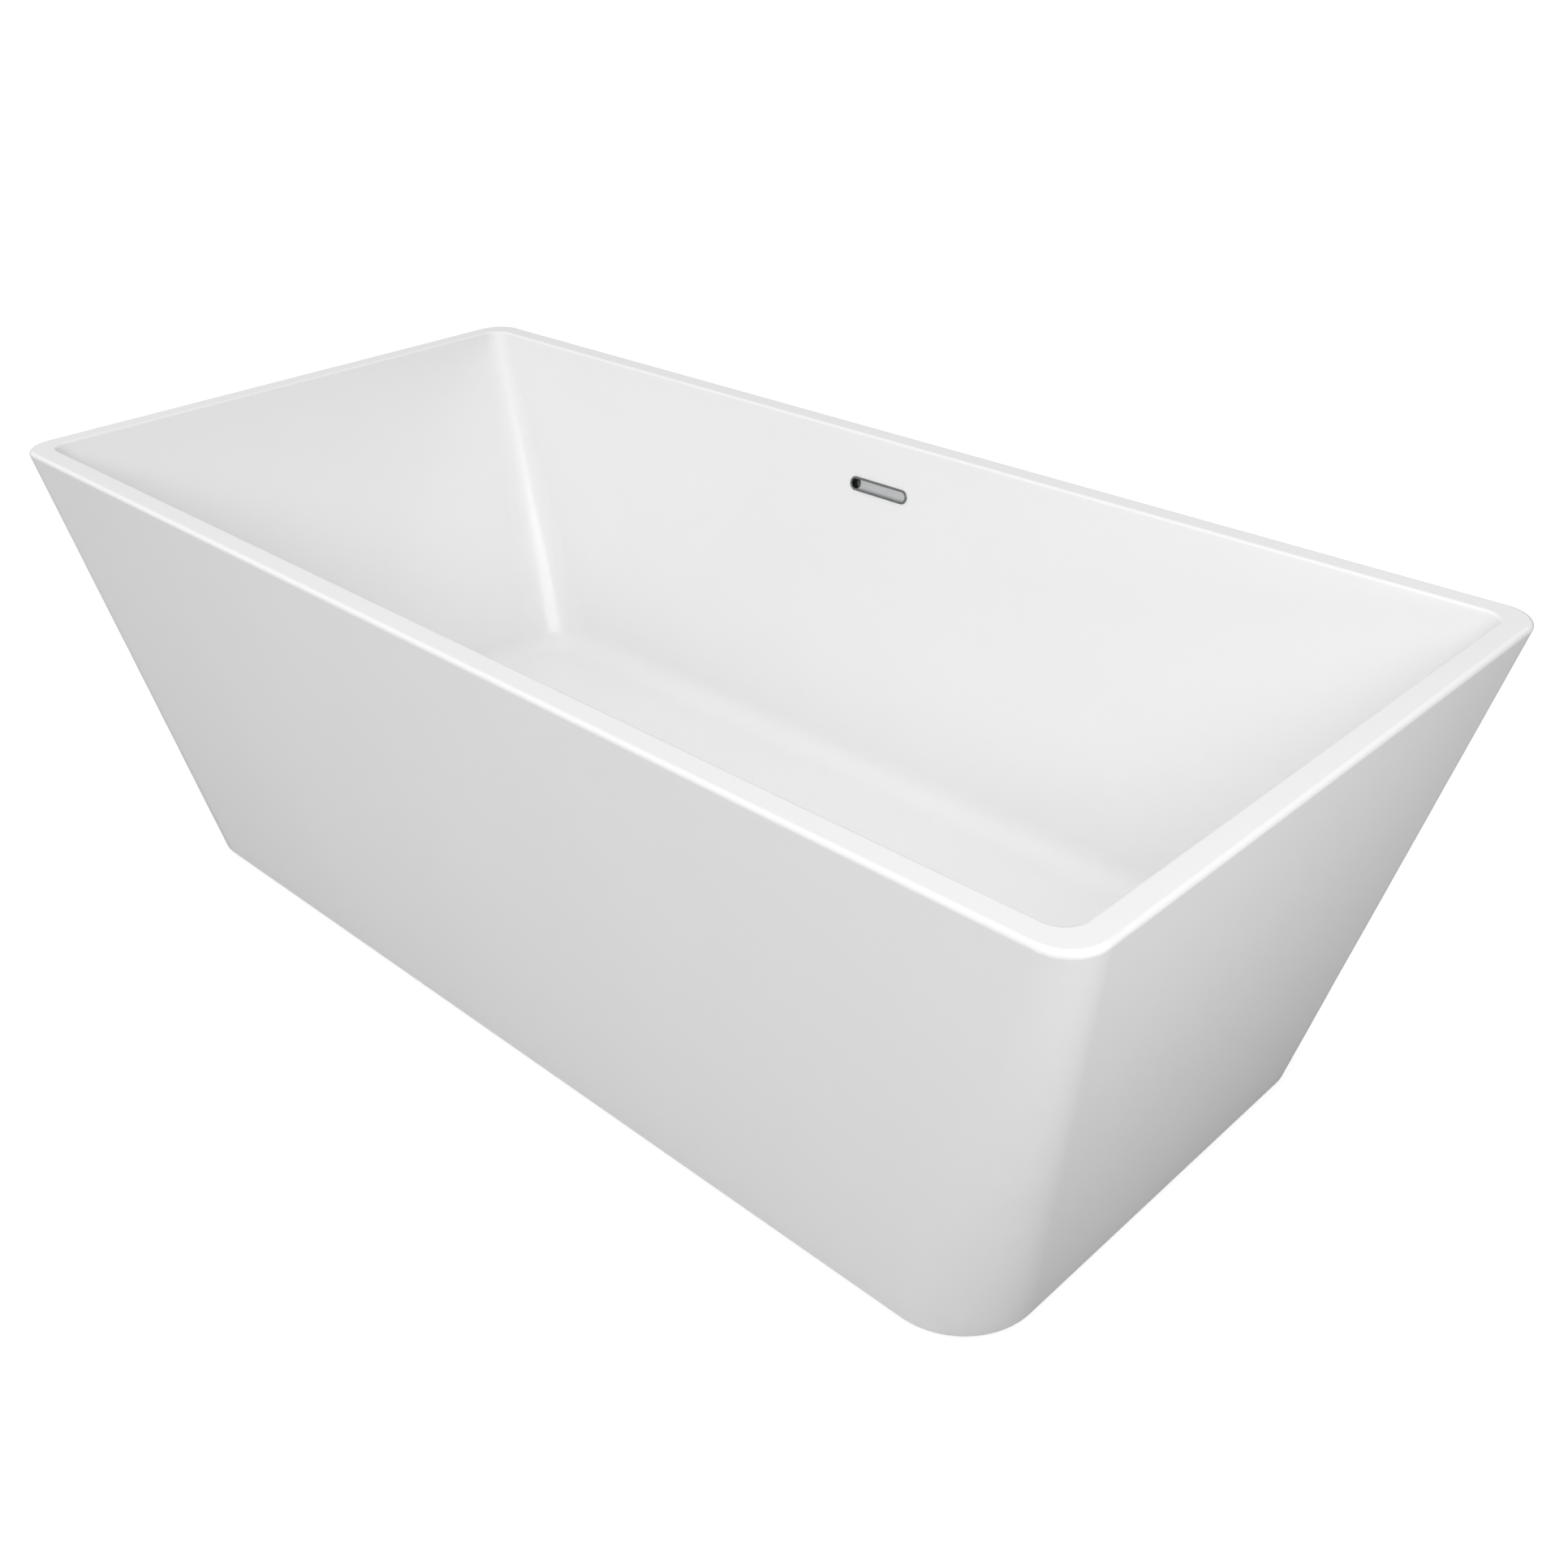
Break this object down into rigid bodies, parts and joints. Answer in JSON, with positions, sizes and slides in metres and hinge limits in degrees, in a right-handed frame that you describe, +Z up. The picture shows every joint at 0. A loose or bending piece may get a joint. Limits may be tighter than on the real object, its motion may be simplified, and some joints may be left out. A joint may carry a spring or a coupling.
{
  "type": "freestanding bathtub",
  "caption": "Freestanding double-walled acrylic bathtub with straight flared sides, a thin flat rim, a wall slot overflow, a centre drain with lift stopper and levelling feet.",
  "frame": {"origin": "on the floor, under the middle of the tub", "axes": "+X along the tub's length, +Y towards the long wall with the overflow, +Z up"},
  "size_m": [1.7, 0.8, 0.58],
  "materials": {
    "acrylic_white": "polished acrylic sheet",
    "laminate": "rough glass-fibre and resin laminate",
    "resin": "set resin bead",
    "plywood": "unsealed plywood",
    "galvanised_steel": "galvanised",
    "zinc_steel": "zinc plated",
    "stainless": "bright stainless steel",
    "black_plastic": "fine moulded texture",
    "hose_plastic": "flexible grey hose",
    "chrome": "polished chrome",
    "satin_chrome": "satin chrome",
    "brass": "turned brass",
    "rubber": "moulded rubber",
    "clear_rubber": "pale silicone rubber"
  },
  "bodies": {
    "root": {"basin": "acrylic_white", "outer_skirt": "acrylic_white", "basin_reinforcement": "laminate", "skirt_reinforcement": "laminate", "rim_bonding_bead": "resin", "base_board": "plywood", "frame_rail_front": "galvanised_steel", "frame_rail_back": "galvanised_steel", "frame_cross_bar_1": "galvanised_steel", "frame_cross_bar_2": "galvanised_steel", "frame_cross_bar_3": "galvanised_steel", "frame_cross_bar_4": "galvanised_steel", "rail_end_caps": "black_plastic", "frame_screws": "zinc_steel", "hem_batten_front": "plywood", "hem_batten_back": "plywood", "hem_batten_left": "plywood", "hem_batten_right": "plywood", "side_brackets": "galvanised_steel", "end_brackets": "galvanised_steel", "bracket_screws": "zinc_steel", "foot_weld_nuts": "zinc_steel", "foot_lock_nuts": "zinc_steel", "overflow_trim": "chrome", "overflow_tray": "satin_chrome", "overflow_gasket": "rubber", "overflow_housing": "black_plastic", "overflow_hose": "hose_plastic", "hose_clamp_upper": "stainless", "hose_clamp_lower": "stainless", "drain_flange": "chrome", "drain_gasket": "clear_rubber", "drain_washer": "rubber", "drain_body": "black_plastic", "drain_tailpiece": "brass", "slip_nut_washer": "rubber", "slip_nut": "black_plastic", "stopper_cartridge": "brass", "stopper_spring": "stainless"},
    "foot_pad_1": {"foot_pad_1": "black_plastic"},
    "foot_stud_1": {"foot_stud_1": "zinc_steel"},
    "foot_pad_2": {"foot_pad_2": "black_plastic"},
    "foot_stud_2": {"foot_stud_2": "zinc_steel"},
    "foot_pad_3": {"foot_pad_3": "black_plastic"},
    "foot_stud_3": {"foot_stud_3": "zinc_steel"},
    "foot_pad_4": {"foot_pad_4": "black_plastic"},
    "foot_stud_4": {"foot_stud_4": "zinc_steel"},
    "stopper": {"stopper_cap": "chrome", "stopper_seal": "rubber", "stopper_stem": "brass"}
  },
  "joints": [
    {"name": "foot_1_height", "type": "slide", "parent": "root", "child": "foot_pad_1", "axis": [0, 0, -1], "range_m": [-0.01, 0.02]},
    {"name": "foot_1_turn", "type": "hinge", "parent": "foot_pad_1", "child": "foot_stud_1", "pos_m": [-0.43, -0.17, 0.05], "axis": [0, 0, -1], "range_deg": [-2060, 4120]},
    {"name": "foot_2_height", "type": "slide", "parent": "root", "child": "foot_pad_2", "axis": [0, 0, -1], "range_m": [-0.01, 0.02]},
    {"name": "foot_2_turn", "type": "hinge", "parent": "foot_pad_2", "child": "foot_stud_2", "pos_m": [0.43, -0.17, 0.05], "axis": [0, 0, -1], "range_deg": [-2060, 4120]},
    {"name": "foot_3_height", "type": "slide", "parent": "root", "child": "foot_pad_3", "axis": [0, 0, -1], "range_m": [-0.01, 0.02]},
    {"name": "foot_3_turn", "type": "hinge", "parent": "foot_pad_3", "child": "foot_stud_3", "pos_m": [-0.43, 0.17, 0.05], "axis": [0, 0, -1], "range_deg": [-2060, 4120]},
    {"name": "foot_4_height", "type": "slide", "parent": "root", "child": "foot_pad_4", "axis": [0, 0, -1], "range_m": [-0.01, 0.02]},
    {"name": "foot_4_turn", "type": "hinge", "parent": "foot_pad_4", "child": "foot_stud_4", "pos_m": [0.43, 0.17, 0.05], "axis": [0, 0, -1], "range_deg": [-2060, 4120]},
    {"name": "stopper_lift", "type": "slide", "parent": "root", "child": "stopper", "axis": [0, 0, 1], "range_m": [0, 0.009], "deforming": ["stopper_spring"]}
  ],
  "couplings": [
    {"joint": "foot_1_turn", "follows": "foot_1_height", "rad_per_m": 3590.4},
    {"joint": "foot_2_turn", "follows": "foot_2_height", "rad_per_m": 3590.4},
    {"joint": "foot_3_turn", "follows": "foot_3_height", "rad_per_m": 3590.4},
    {"joint": "foot_4_turn", "follows": "foot_4_height", "rad_per_m": 3590.4}
  ]
}
